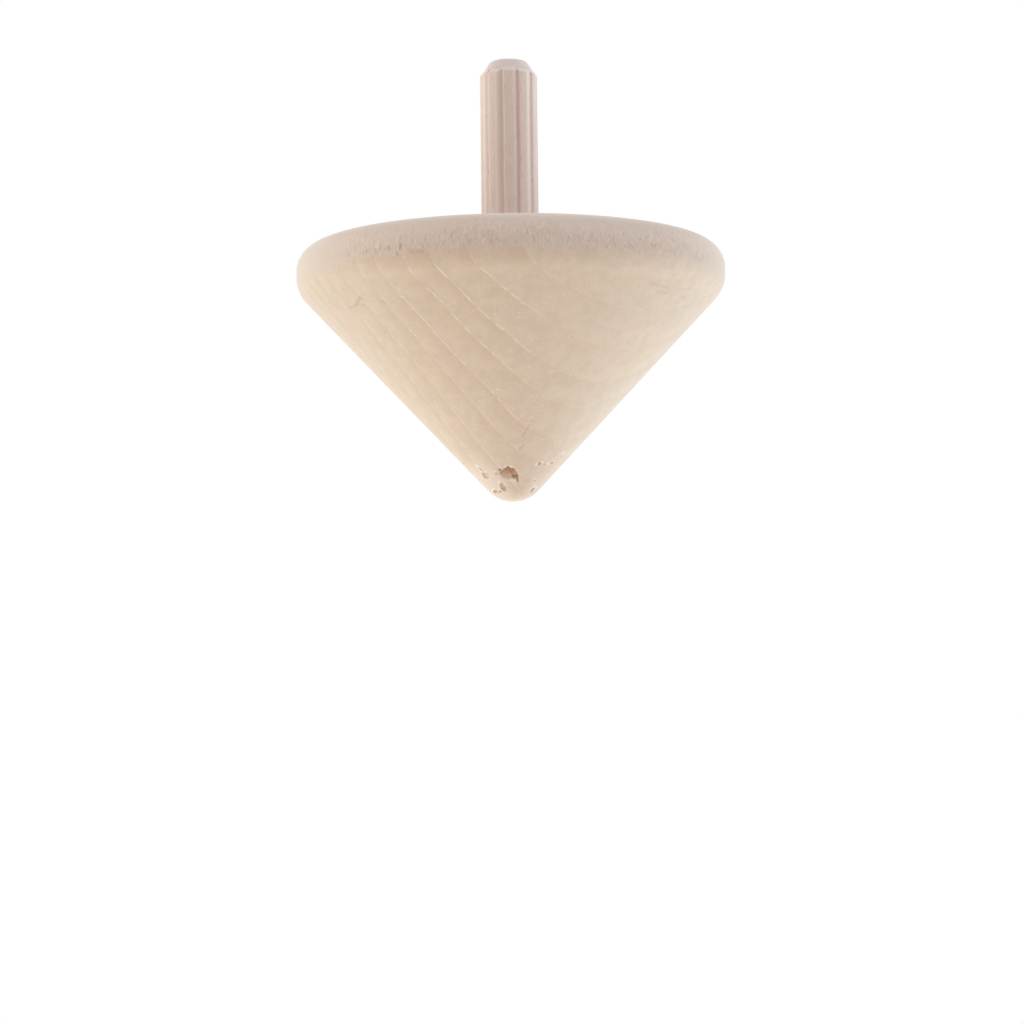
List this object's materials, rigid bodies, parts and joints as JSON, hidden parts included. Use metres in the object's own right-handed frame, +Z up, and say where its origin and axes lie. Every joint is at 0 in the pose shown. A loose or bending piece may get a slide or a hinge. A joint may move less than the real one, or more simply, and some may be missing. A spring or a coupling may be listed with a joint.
{
  "type": "spinning top",
  "caption": "Hand-spun wooden top: a turned cone body on a blunt round tip, with a fluted dowel glued into its flat top as the finger stem.",
  "frame": {"origin": "lowest point of the round tip, on the spin axis", "axes": "+Z up the spin axis from the tip through the stem; -Y towards the viewer of the picture, +X to their right"},
  "size_m": [0.06, 0.06, 0.0622],
  "materials": {
    "body_wood": "bare, turned and sanded, with torn grain at the tip",
    "dowel_wood": "bare, with pressed flutes"
  },
  "bodies": {
    "root": {"cone_body": "body_wood", "fluted_dowel": "dowel_wood"}
  },
  "joints": []
}
